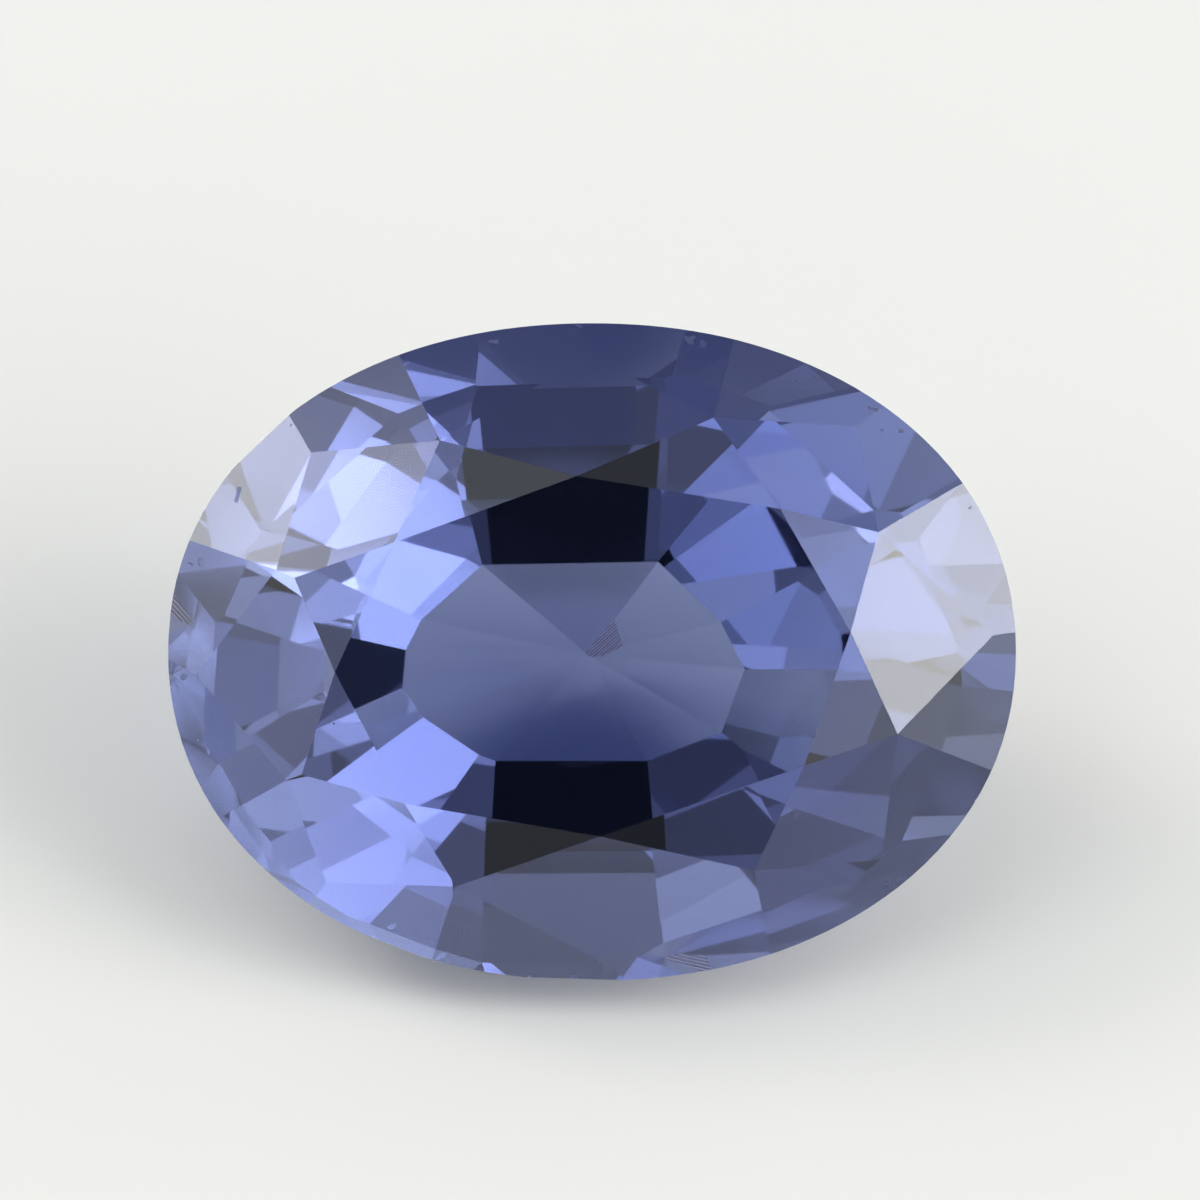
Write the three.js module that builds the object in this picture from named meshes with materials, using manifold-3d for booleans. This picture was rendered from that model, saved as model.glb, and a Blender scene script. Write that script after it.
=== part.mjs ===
// A cut iolite: one crystal with an oval girdle, a brilliant crown and a stepped pavilion.
// Millimetres. The stone is laid out with its table level, its girdle at height 0 and its length along X,
// and is then tipped onto the pavilion facet that it rests on, so that +Z is up.
import * as THREE from 'three';
import { mergeVertices } from 'three/addons/utils/BufferGeometryUtils.js';
import Module from 'manifold-3d';

// Driving dimensions of the girdle
const GIRDLE_LENGTH = 10.64;
const GIRDLE_WIDTH = 8.25;
const GIRDLE_FULLNESS = 2.1; // exponent of the outline: 2 is an ellipse, more is squarer
const GIRDLE_STEPS = 144;
const GIRDLE_BASE = -0.04; // bottom of the band in the middle of a lower facet

// Driving dimensions of the crown, above the girdle
const TABLE_HEIGHT = 1.31;
const STAR_DROP_AT_SIDES = 0.39; // star tips below the table, along the long sides
const STAR_DROP_AT_ENDS = 0.29; // and round the two ends

// Corners of the hand-cut crown seen from above, counter-clockwise from the upper long side
const TABLE_CORNERS = [
  [-0.19, 2.2], [-2.47, 1.37], [-3.21, -0.25], [-2.34, -1.89],
  [0.1, -2.3], [2.65, -1.42], [3.23, 0.25], [2.35, 1.79],
];
// Each star tip lies outside the table edge that starts at the corner of the same place in the list
const STAR_TIPS = [
  [-1.9, 2.65], [-3.72, 0.93], [-3.63, -1.53], [-1.7, -2.93],
  [2.03, -2.73], [3.82, -1.02], [3.58, 1.5], [1.52, 2.93],
];
const STAR_TIP_DROPS = [
  STAR_DROP_AT_SIDES, STAR_DROP_AT_ENDS, STAR_DROP_AT_ENDS, STAR_DROP_AT_SIDES,
  STAR_DROP_AT_SIDES, STAR_DROP_AT_ENDS, STAR_DROP_AT_ENDS, STAR_DROP_AT_SIDES,
];
// Where two upper girdle facets miss the star tip, the short edge that is left between two kites
const MISSED_MEETS = [0, 0.25, 0.2, 0, 0, 0, 0, 0];
// Outer tips of the kites, one outside each table corner
const KITE_TIPS = [
  [-0.03, 3.71], [-3.52, 2.5], [-4.97, -0.29], [-3.33, -2.89],
  [0.03, -3.84], [3.63, -2.6], [5.03, 0.21], [3.32, 2.83],
];
// Directions in which the edge between two upper girdle facets reaches the girdle, one outside each star tip
const GIRDLE_MEETS_DEG = [123, 164.5, 204, 242.5, 300.5, 343.5, 24.5, 65.5];
// Top of the girdle's band at those places. The band is thinnest at the front left
const GIRDLE_CRESTS = [0.05, 0.08, 0.02, -0.03, 0.1, 0.08, 0.14, 0.1];

// Driving dimensions of the pavilion, below the girdle
const PAVILION_DEPTH = 4.44;
const CULET = new THREE.Vector3(-0.05, -0.04, -PAVILION_DEPTH);
const CULET_TIER_HEIGHT = 0.94;
// Sixteen facets a tier, counter-clockwise from the right end: the direction that each faces, how far its inner
// edge lies from the culet, the slope of its middle tier, and how high that tier is
const PAVILION_FACETS = [
  { name: 'right', facing: 5, reach: 2.04, slope: 40.8, rise: 1.8 },
  { name: 'right back narrow', facing: 27, reach: 1.68, slope: 42, rise: 1.9 },
  { name: 'back right', facing: 46, reach: 1.46, slope: 43.4, rise: 1.6 },
  { name: 'back right narrow', facing: 71, reach: 1.4, slope: 45.2, rise: 1.7 },
  { name: 'back', facing: 91, reach: 1.16, slope: 44, rise: 1.6 },
  { name: 'back left narrow', facing: 110, reach: 1.6, slope: 47.4, rise: 1.65 },
  { name: 'back left', facing: 132, reach: 1.74, slope: 46.8, rise: 1.65 },
  { name: 'left back narrow', facing: 153, reach: 2.08, slope: 44.4, rise: 1.7 },
  { name: 'left', facing: 175, reach: 2.3, slope: 43.8, rise: 1.85 },
  { name: 'left front narrow', facing: 215, reach: 2.16, slope: 40.4, rise: 1.55 },
  { name: 'front left', facing: 236, reach: 1.82, slope: 42.2, rise: 1.9 },
  { name: 'front left narrow', facing: 250, reach: 1.66, slope: 43.2, rise: 1.8 },
  { name: 'front', facing: 270, reach: 1.34, slope: 42, rise: 1.8 },
  { name: 'front right narrow', facing: 291, reach: 1.52, slope: 43, rise: 1.55 },
  { name: 'front right', facing: 307, reach: 1.84, slope: 43.4, rise: 1.8 },
  { name: 'right front narrow', facing: 340, reach: 1.92, slope: 40.4, rise: 1.8 },
];
const RESTING_FACET = 'front';
// A small extra facet beside the culet. It is slightly flatter than the one it is ground into, and takes the tip off
const SMALL_FACET = { facing: 48, slope: 31.2, tipLoss: 0.02 };

// The blocks that the facets are cut with
const BLOCK_SIZE = 40;
const BLANK_MARGIN = 0.5;

const wasm = await Module();
wasm.setup();

function toManifold(geometry) {
  const bare = geometry.clone();
  bare.deleteAttribute('normal');
  bare.deleteAttribute('uv');
  const merged = mergeVertices(bare, 1e-5);
  return new wasm.Manifold(new wasm.Mesh({
    numProp: 3,
    vertProperties: new Float32Array(merged.attributes.position.array),
    triVerts: new Uint32Array(merged.index.array),
  }));
}

function toGeometry(manifold) {
  const mesh = manifold.getMesh();
  const geometry = new THREE.BufferGeometry();
  geometry.setAttribute('position', new THREE.BufferAttribute(new Float32Array(mesh.vertProperties), 3));
  geometry.setIndex(new THREE.BufferAttribute(new Uint32Array(mesh.triVerts), 1));
  return geometry;
}

function facingDirection(degrees) {
  const angle = THREE.MathUtils.degToRad(degrees);
  return new THREE.Vector2(Math.cos(angle), Math.sin(angle));
}

// A point of the girdle's outline, in a direction seen from the stone's middle
function outlinePoint(direction) {
  const across = Math.abs(direction.x / (GIRDLE_LENGTH / 2)) ** GIRDLE_FULLNESS;
  const along = Math.abs(direction.y / (GIRDLE_WIDTH / 2)) ** GIRDLE_FULLNESS;
  return direction.clone().multiplyScalar((across + along) ** (-1 / GIRDLE_FULLNESS));
}

// How far the outline reaches in a direction, measured to the straight line that touches it there
function outlineReach(direction) {
  const power = GIRDLE_FULLNESS / (GIRDLE_FULLNESS - 1);
  const across = Math.abs(direction.x * GIRDLE_LENGTH / 2) ** power;
  const along = Math.abs(direction.y * GIRDLE_WIDTH / 2) ** power;
  return (across + along) ** (1 / power);
}

// The rough stone, sawn to the girdle's outline
function oval() {
  const points = [];
  for (let step = 0; step < GIRDLE_STEPS; step += 1) {
    points.push(outlinePoint(facingDirection((360 * step) / GIRDLE_STEPS)));
  }
  const depth = TABLE_HEIGHT + PAVILION_DEPTH + 2 * BLANK_MARGIN;
  const blank = new THREE.ExtrudeGeometry(new THREE.Shape(points), { depth, bevelEnabled: false });
  blank.translate(0, 0, -PAVILION_DEPTH - BLANK_MARGIN);
  return toManifold(blank);
}

// A facet's plane, with its normal pointing out of the crown
function planeThrough(a, b, c) {
  const plane = new THREE.Plane().setFromCoplanarPoints(a, b, c);
  return plane.normal.z < 0 ? plane.negate() : plane;
}

// A facet's plane by the slope that it makes with the girdle, with its normal pointing down and out
function slopingPlane(direction, slope, point) {
  const normal = new THREE.Vector3(
    Math.sin(slope) * direction.x,
    Math.sin(slope) * direction.y,
    -Math.cos(slope),
  );
  return new THREE.Plane().setFromNormalAndCoplanarPoint(normal, point);
}

function heightOn(plane, x, y) {
  return -(plane.constant + plane.normal.x * x + plane.normal.y * y) / plane.normal.z;
}

function pointOn(plane, [x, y]) {
  return new THREE.Vector3(x, y, heightOn(plane, x, y));
}

function crownPlanes() {
  const table = new THREE.Plane(new THREE.Vector3(0, 0, 1), -TABLE_HEIGHT);
  const corners = TABLE_CORNERS.map(([x, y]) => new THREE.Vector3(x, y, TABLE_HEIGHT));
  const tips = STAR_TIPS.map(([x, y], i) => new THREE.Vector3(x, y, TABLE_HEIGHT - STAR_TIP_DROPS[i]));
  const count = corners.length;
  const next = (i) => (i + 1) % count;
  const last = (i) => (i + count - 1) % count;
  const kites = corners.map((corner, i) => planeThrough(corner, tips[last(i)], tips[i]));
  const stars = corners.map((corner, i) => planeThrough(corner, corners[next(i)], tips[i]));
  const upperGirdle = tips.flatMap((tip, i) => {
    // The edge between this side's two kites runs out and down from the star tip
    const edge = kites[i].normal.clone().cross(kites[next(i)].normal).normalize();
    edge.multiplyScalar(-Math.sign(edge.z));
    const meet = tip.clone().addScaledVector(edge, MISSED_MEETS[i] / Math.hypot(edge.x, edge.y));
    const rim = outlinePoint(facingDirection(GIRDLE_MEETS_DEG[i]));
    const crest = new THREE.Vector3(rim.x, rim.y, GIRDLE_CRESTS[i]);
    return [i, next(i)].map((kite) => planeThrough(meet, pointOn(kites[kite], KITE_TIPS[kite]), crest));
  });
  return [table, ...kites, ...stars, ...upperGirdle];
}

function pavilionPlanes() {
  const culetTop = CULET.z + CULET_TIER_HEIGHT;
  const groundTip = CULET.clone().setZ(CULET.z + SMALL_FACET.tipLoss);
  const small = slopingPlane(
    facingDirection(SMALL_FACET.facing),
    THREE.MathUtils.degToRad(SMALL_FACET.slope),
    groundTip,
  );
  const tiers = PAVILION_FACETS.flatMap(({ facing, reach, slope, rise }) => {
    const direction = facingDirection(facing);
    const middleSlope = THREE.MathUtils.degToRad(slope);
    const culetSlope = Math.atan2(CULET_TIER_HEIGHT, reach);
    const inner = new THREE.Vector3(CULET.x + reach * direction.x, CULET.y + reach * direction.y, culetTop);
    // The outer tier runs from the middle tier's upper edge to the girdle
    const middleReach = inner.x * direction.x + inner.y * direction.y + rise / Math.tan(middleSlope);
    const rim = outlineReach(direction);
    const outerSlope = Math.atan2(GIRDLE_BASE - culetTop - rise, rim - middleReach);
    const outer = new THREE.Vector3(rim * direction.x, rim * direction.y, GIRDLE_BASE);
    return [
      slopingPlane(direction, culetSlope, CULET),
      slopingPlane(direction, middleSlope, inner),
      slopingPlane(direction, outerSlope, outer),
    ];
  });
  return [...tiers, small];
}

// Grinds a facet: takes away all that lies outside its plane
function grind(stone, plane) {
  const block = new THREE.BoxGeometry(BLOCK_SIZE, BLOCK_SIZE, BLOCK_SIZE);
  block.translate(0, 0, BLOCK_SIZE / 2);
  block.applyQuaternion(new THREE.Quaternion().setFromUnitVectors(new THREE.Vector3(0, 0, 1), plane.normal));
  const foot = plane.normal.clone().multiplyScalar(-plane.constant);
  block.translate(foot.x, foot.y, foot.z);
  return stone.subtract(toManifold(block));
}

function stoneGeometry() {
  const planes = [...crownPlanes(), ...pavilionPlanes()];
  return toGeometry(planes.reduce(grind, oval()));
}

function restingTilt() {
  const facet = PAVILION_FACETS.find(({ name }) => name === RESTING_FACET);
  return THREE.MathUtils.degToRad(facet.slope);
}

const iolite = new THREE.Mesh(
  stoneGeometry(),
  new THREE.MeshStandardMaterial({
    color: new THREE.Color(0.33, 0.36, 0.68),
    roughness: 0.05,
    metalness: 0,
    transparent: true,
    opacity: 0.6,
    flatShading: true,
  }),
);
iolite.name = 'iolite';
iolite.rotation.x = restingTilt();
iolite.updateMatrixWorld(true);

// The origin is under the middle of the stone, on the surface that it rests on
const bounds = new THREE.Box3().setFromObject(iolite, true);
const middle = bounds.getCenter(new THREE.Vector3());
iolite.position.set(-middle.x, -middle.y, -bounds.min.z);

const group = new THREE.Group();
group.add(iolite);

export default group;
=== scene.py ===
import math

import bpy
from mathutils import Matrix, Vector

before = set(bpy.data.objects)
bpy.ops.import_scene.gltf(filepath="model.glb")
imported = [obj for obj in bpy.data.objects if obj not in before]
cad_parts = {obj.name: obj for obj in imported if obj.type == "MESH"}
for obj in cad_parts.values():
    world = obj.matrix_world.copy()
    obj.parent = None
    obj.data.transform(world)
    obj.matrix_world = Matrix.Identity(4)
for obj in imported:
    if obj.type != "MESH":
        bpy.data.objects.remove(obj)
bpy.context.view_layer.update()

MM = 0.001

# The stone lies on a facet of its pavilion, so its own frame is tipped about X: its table leans to the front
TILT = math.radians(42.0)
GIRDLE_CENTRE = Vector((0.0, -0.16, 3.524)) * MM
GIRDLE_LENGTH = 10.64 * MM
STONE_TO_ROW = Matrix.Rotation(TILT, 3, "X")
TABLE_DIRECTION = STONE_TO_ROW @ Vector((0, 0, 1))

# The photograph looks straight at the table. Its framing is in pixels
PICTURE_SIDE = 1200
STONE_LENGTH_IN_PICTURE = 848
STONE_CENTRE_IN_PICTURE = (592, 652)
CAMERA_DISTANCE = 0.26
CAMERA_SEES_FROM = 0.01
CAMERA_SEES_TO = 5.0
SENSOR_WIDTH = 36.0

# The surface that the stone lies on, a hair under its lowest facet
FLOOR_SIZE = 3.0
AIR_GAP = 0.02 * MM
FLOOR_COLOUR = (0.675, 0.662, 0.632)

# Soft lights round the stone: kind, azimuth (0 is right, 90 back), elevation, the radius of the even middle
# and of the faded rim, all in degrees, and the strength
LIGHTS = {
    "right lamp": ("lamp", 352, 22, 9, 12, 6.5),
    "left lamp": ("lamp", 157, 41, 8, 12, 5.5),
    "left side lamp": ("lamp", 188, 18, 8, 14, 1.5),
    "right window": ("wall", 340, 22, 0, 32, 1.65),
    "left window": ("wall", 140, 22, 0, 50, 0.7),
    "back right wall": ("wall", 40, 22, 0, 32, 1.05),
    "front right lamp": ("wall", 320, 24, 6, 16, 1.9),
    "front right wall": ("wall", 320, 8, 0, 32, 1.3),
    "front left wall": ("wall", 240, 8, 0, 32, 0.55),
    "front shelf": ("wall", 270, 36, 10, 24, 1.2),
    "right shelf": ("wall", 340, 36, 6, 16, 3.3),
    "front right shelf": ("wall", 292, 36, 6, 16, 0.5),
    "left shelf": ("wall", 204, 36, 6, 16, 1.5),
    "left ceiling": ("wall", 165, 52, 10, 24, 0.8),
    "front left ceiling": ("sky", 200, 54, 10, 24, 0.9),
    "right ceiling": ("wall", 345, 52, 10, 24, 1.7),
    "front ceiling": ("sky", 240, 70, 10, 24, 1.2),
    "zenith": ("sky", 0, 88, 15, 36, 0.3),
}
LIGHT_COLOURS = {
    "lamp": (1.03, 1.01, 0.93),
    "wall": (0.99, 1.01, 1.0),
    "sky": (0.9, 0.98, 1.1),
}
ROOM_COLOUR = (0.25, 0.26, 0.27)
LENS_COLOUR = (0.02, 0.025, 0.03)
LENS_SHADE = (12, 22)

# How the crystal takes up light on its way through, in each colour, per metre. The density is a little over
# the strongest of them, so that no colour is taken up whole
ABSORPTION = (155.0, 150.0, 103.0)
DENSITY_OVER_STRONGEST = 1.05
REFRACTIVE_INDEX = 1.545

# Tints of the light that crosses the surface. The second takes over from the first along the stone, between
# two distances from its middle. Lengths from here on are in millimetres
BODY_TINT = (0.6, 0.69, 1.0)
END_TINT = (0.6, 0.69, 0.8)
END_TINT_FROM_MIDDLE = (2.4, 4.4)
GIRDLE_TINT = (0.8, 0.85, 0.95)
SMALL_FACET_TINT = (0.95, 0.82, 0.95)
CLOUD_SCALE = 0.35
CLOUD_STEP = (0.35, 0.65)
CLOUD_TINTS = (0.94, 1.0)

# Where a part of the surface starts and where it is whole: by height over the girdle's middle, or by level,
# which is 0 on an upright face and 1 on the table
GIRDLE_LEVEL = (0.12, 0.05)
CROWN_HEIGHT = (0.0, 0.1)
CROWN_LEVEL = (0.05, 0.3)
CULET_TIER_HEIGHT = (-3.495, -3.505)
NEAR_GIRDLE_HEIGHT = (0.3, 0.1)

# The small extra facet beside the culet: the direction it faces, its slope and how far a facing may be off,
# all in degrees
SMALL_FACET_FACING = 48
SMALL_FACET_SLOPE = 31.2
SMALL_FACET_OFF = (1.2, 0.6)
GROOVE_ACROSS = (-0.66, 0.75, 0.0)
GROOVE_SPACING = 0.06
GROOVE_DEPTH = 0.008 * MM

# Small marks: nicks along the girdle and specks of dust on the crown
NICK_SCALE = 4.0
NICK_STEP = (0.7, 0.74)
DUST_SPACING = 0.9
DUST_RADIUS = 0.02

CROWN_ROUGHNESS = 0.05
CULET_ROUGHNESS = 0.25
GIRDLE_ROUGHNESS = 0.55
SMALL_FACET_ROUGHNESS = 0.4
NICK_ROUGHNESS = 0.5
DUST_ROUGHNESS = 0.8
POLISH_SCALE = 1.5
POLISH_STEP = (0.3, 0.7)
POLISH_FACTORS = (0.8, 1.2)


def direction(azimuth, elevation):
    """The unit vector at two angles in degrees."""
    a = math.radians(azimuth)
    e = math.radians(elevation)
    return Vector((math.cos(a) * math.cos(e), math.sin(a) * math.cos(e), math.sin(e)))


class Nodes:
    """Short calls for a node tree. An input is a number, a colour, a vector or another node's output."""

    def __init__(self, tree):
        self.tree = tree

    def feed(self, socket, value):
        if isinstance(value, bpy.types.NodeSocket):
            self.tree.links.new(value, socket)
        elif socket.type == "RGBA" and len(value) == 3:
            socket.default_value = (*value, 1.0)
        else:
            socket.default_value = value

    def add(self, kind, inputs=(), **settings):
        node = self.tree.nodes.new(kind)
        for name, value in settings.items():
            setattr(node, name, value)
        for name, value in dict(inputs).items():
            self.feed(node.inputs[name], value)
        return node

    def math(self, operation, first, second=0.0):
        return self.add("ShaderNodeMath", {0: first, 1: second}, operation=operation).outputs[0]

    def dot(self, first, second):
        node = self.add("ShaderNodeVectorMath", {0: first, 1: second}, operation="DOT_PRODUCT")
        return node.outputs["Value"]

    def plus(self, first, second):
        node = self.add("ShaderNodeVectorMath", {0: first, 1: second}, operation="ADD")
        return node.outputs["Vector"]

    def times(self, vector, factor):
        node = self.add("ShaderNodeVectorMath", {0: vector, "Scale": factor}, operation="SCALE")
        return node.outputs["Vector"]

    def step(self, value, start, end, low=0.0, high=1.0):
        """low up to start, high from end on, and a soft change between them."""
        inputs = {"Value": value, "From Min": start, "From Max": end, "To Min": low, "To Max": high}
        return self.add("ShaderNodeMapRange", inputs, interpolation_type="SMOOTHSTEP").outputs["Result"]

    def noise(self, place, scale, detail):
        inputs = {"Vector": place, "Scale": scale, "Detail": detail}
        return self.add("ShaderNodeTexNoise", inputs).outputs[0]

    def specks(self, place, spacing, radius):
        """Round dots, one in each cell."""
        cells = self.add("ShaderNodeTexVoronoi", {"Vector": place, "Scale": 1.0 / spacing})
        return self.step(cells.outputs["Distance"], radius / spacing, 0.5 * radius / spacing)

    def mix(self, factor, first, second):
        node = self.add("ShaderNodeMix", {0: factor, 6: first, 7: second}, data_type="RGBA")
        return node.outputs[2]


def add_camera():
    right = STONE_TO_ROW @ Vector((1, 0, 0))
    up = STONE_TO_ROW @ Vector((0, 1, 0))
    pixel = GIRDLE_LENGTH / STONE_LENGTH_IN_PICTURE
    from_left, from_top = STONE_CENTRE_IN_PICTURE
    middle = PICTURE_SIDE / 2
    target = GIRDLE_CENTRE + right * (middle - from_left) * pixel + up * (from_top - middle) * pixel
    data = bpy.data.cameras.new("camera")
    data.sensor_width = SENSOR_WIDTH
    data.lens = SENSOR_WIDTH * CAMERA_DISTANCE / (PICTURE_SIDE * pixel)
    data.clip_start = CAMERA_SEES_FROM
    data.clip_end = CAMERA_SEES_TO
    camera = bpy.data.objects.new("camera", data)
    camera.location = target + TABLE_DIRECTION * CAMERA_DISTANCE
    camera.rotation_mode = "QUATERNION"
    camera.rotation_quaternion = Matrix((right, up, TABLE_DIRECTION)).transposed().to_quaternion()
    bpy.context.scene.collection.objects.link(camera)
    bpy.context.scene.camera = camera


def add_floor():
    half = FLOOR_SIZE / 2
    corners = [(-half, -half), (half, -half), (half, half), (-half, half)]
    mesh = bpy.data.meshes.new("floor")
    mesh.from_pydata([(x, y, -AIR_GAP) for x, y in corners], [], [(0, 1, 2, 3)])
    floor = bpy.data.objects.new("floor", mesh)
    bpy.context.scene.collection.objects.link(floor)
    material = bpy.data.materials.new("paper")
    material.use_nodes = True
    nodes = Nodes(material.node_tree)
    shader = material.node_tree.nodes["Principled BSDF"]
    nodes.feed(shader.inputs["Base Color"], FLOOR_COLOUR)
    shader.inputs["Roughness"].default_value = 1.0
    shader.inputs["Specular IOR Level"].default_value = 0.0
    mesh.materials.append(material)


def add_lights():
    world = bpy.data.worlds.new("studio")
    bpy.context.scene.world = world
    world.use_nodes = True
    world.node_tree.nodes.clear()
    nodes = Nodes(world.node_tree)
    looking = nodes.add("ShaderNodeTexCoord").outputs["Generated"]

    def patch(centre, inner, outer):
        towards = nodes.dot(looking, centre)
        return nodes.step(towards, math.cos(math.radians(outer)), math.cos(math.radians(inner)))

    light = nodes.add("ShaderNodeCombineXYZ", dict(enumerate(ROOM_COLOUR))).outputs[0]
    for kind, azimuth, elevation, inner, outer, strength in LIGHTS.values():
        colour = Vector(LIGHT_COLOURS[kind]) * strength
        light = nodes.plus(light, nodes.times(colour, patch(direction(azimuth, elevation), inner, outer)))
    # The stone's table mirrors and shows the dark lens
    lens = patch(TABLE_DIRECTION, *LENS_SHADE)
    light = nodes.plus(nodes.times(light, nodes.math("SUBTRACT", 1.0, lens)), nodes.times(LENS_COLOUR, lens))
    background = nodes.add("ShaderNodeBackground", {"Color": light})
    nodes.add("ShaderNodeOutputWorld", {"Surface": background.outputs[0]})


def small_facet_direction():
    """Down and outwards. A facet that slopes by an angle faces that far from straight down."""
    return direction(SMALL_FACET_FACING, SMALL_FACET_SLOPE - 90)


def crystal_material():
    material = bpy.data.materials.new("iolite_crystal")
    material.use_nodes = True
    nodes = Nodes(material.node_tree)
    shader = material.node_tree.nodes["Principled BSDF"]
    output = material.node_tree.nodes["Material Output"]
    shader.inputs["Transmission Weight"].default_value = 1.0
    shader.inputs["IOR"].default_value = REFRACTIVE_INDEX

    # Places (in millimetres) and facings in the stone's own frame: its middle at 0, its table up
    coordinates = nodes.add("ShaderNodeTexCoord")
    row_to_stone = STONE_TO_ROW.inverted()
    turn = row_to_stone.to_euler()
    place = nodes.add("ShaderNodeMapping", {
        "Vector": coordinates.outputs["Object"],
        "Location": -(row_to_stone @ GIRDLE_CENTRE) / MM,
        "Rotation": turn,
        "Scale": (1.0 / MM, 1.0 / MM, 1.0 / MM),
    }, vector_type="POINT").outputs["Vector"]
    facing = nodes.add("ShaderNodeMapping", {
        "Vector": coordinates.outputs["Normal"],
        "Rotation": turn,
    }, vector_type="VECTOR").outputs["Vector"]
    split_place = nodes.add("ShaderNodeSeparateXYZ", {"Vector": place})
    along = split_place.outputs["X"]
    height = split_place.outputs["Z"]
    level = nodes.math("ABSOLUTE", nodes.add("ShaderNodeSeparateXYZ", {"Vector": facing}).outputs["Z"])

    # Parts of the surface. Seen from inside the stone a facet faces the other way
    girdle = nodes.step(level, *GIRDLE_LEVEL)
    crown = nodes.math("MULTIPLY", nodes.step(height, *CROWN_HEIGHT), nodes.step(level, *CROWN_LEVEL))
    culet = nodes.step(height, *CULET_TIER_HEIGHT)
    like_small_facet = nodes.math("ABSOLUTE", nodes.dot(facing, small_facet_direction()))
    small_facet = nodes.step(like_small_facet, *(math.cos(math.radians(off)) for off in SMALL_FACET_OFF))
    small_facet = nodes.math("MULTIPLY", culet, small_facet)
    near_girdle = nodes.step(nodes.math("ABSOLUTE", height), *NEAR_GIRDLE_HEIGHT)
    nicks = nodes.math("MULTIPLY", near_girdle, nodes.step(nodes.noise(place, NICK_SCALE, 1.0), *NICK_STEP))
    dust = nodes.math("MULTIPLY", crown, nodes.specks(place, DUST_SPACING, DUST_RADIUS))

    # Seen along its length the crystal is straw grey, and across it violet blue, in faint clouds
    clouds = nodes.step(nodes.noise(place, CLOUD_SCALE, 0.0), *CLOUD_STEP, *CLOUD_TINTS)
    to_ends = nodes.step(nodes.math("ABSOLUTE", along), *END_TINT_FROM_MIDDLE)
    tint = nodes.times(nodes.mix(to_ends, BODY_TINT, END_TINT), clouds)
    tint = nodes.mix(girdle, tint, GIRDLE_TINT)
    tint = nodes.mix(small_facet, tint, SMALL_FACET_TINT)
    nodes.feed(shader.inputs["Base Color"], tint)

    # Polish, laps and grinding
    uneven = nodes.step(nodes.noise(place, POLISH_SCALE, 0.0), *POLISH_STEP, *POLISH_FACTORS)
    roughness = nodes.math("MULTIPLY", nodes.math("MULTIPLY", crown, CROWN_ROUGHNESS), uneven)
    rough_parts = (
        (culet, CULET_ROUGHNESS),
        (girdle, GIRDLE_ROUGHNESS),
        (small_facet, SMALL_FACET_ROUGHNESS),
        (nicks, NICK_ROUGHNESS),
        (dust, DUST_ROUGHNESS),
    )
    for part, value in rough_parts:
        roughness = nodes.math("MAXIMUM", roughness, nodes.math("MULTIPLY", part, value))
    nodes.feed(shader.inputs["Roughness"], roughness)

    # Grooves that the lap left across the small facet
    across = nodes.dot(place, GROOVE_ACROSS)
    grooves = nodes.math("SINE", nodes.math("MULTIPLY", across, math.tau / GROOVE_SPACING))
    relief = nodes.add("ShaderNodeBump", {
        "Height": nodes.math("MULTIPLY", grooves, small_facet),
        "Strength": 1.0,
        "Distance": GROOVE_DEPTH,
    })
    nodes.feed(shader.inputs["Normal"], relief.outputs["Normal"])

    density = DENSITY_OVER_STRONGEST * max(ABSORPTION)
    absorption = nodes.add("ShaderNodeVolumeAbsorption", {
        "Color": tuple(1.0 - part / density for part in ABSORPTION),
        "Density": density,
    })
    nodes.feed(output.inputs["Volume"], absorption.outputs["Volume"])
    return material


def dress_stone():
    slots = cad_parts["iolite"].data.materials
    slots.clear()
    slots.append(crystal_material())


def set_looks():
    scene = bpy.context.scene
    scene.view_settings.view_transform = "Standard"
    # A ray is thrown back inside a gem many times before it leaves
    scene.cycles.max_bounces = 18
    scene.cycles.glossy_bounces = 14
    scene.cycles.transmission_bounces = 14
    scene.cycles.diffuse_bounces = 3


add_camera()
add_floor()
add_lights()
dress_stone()
set_looks()
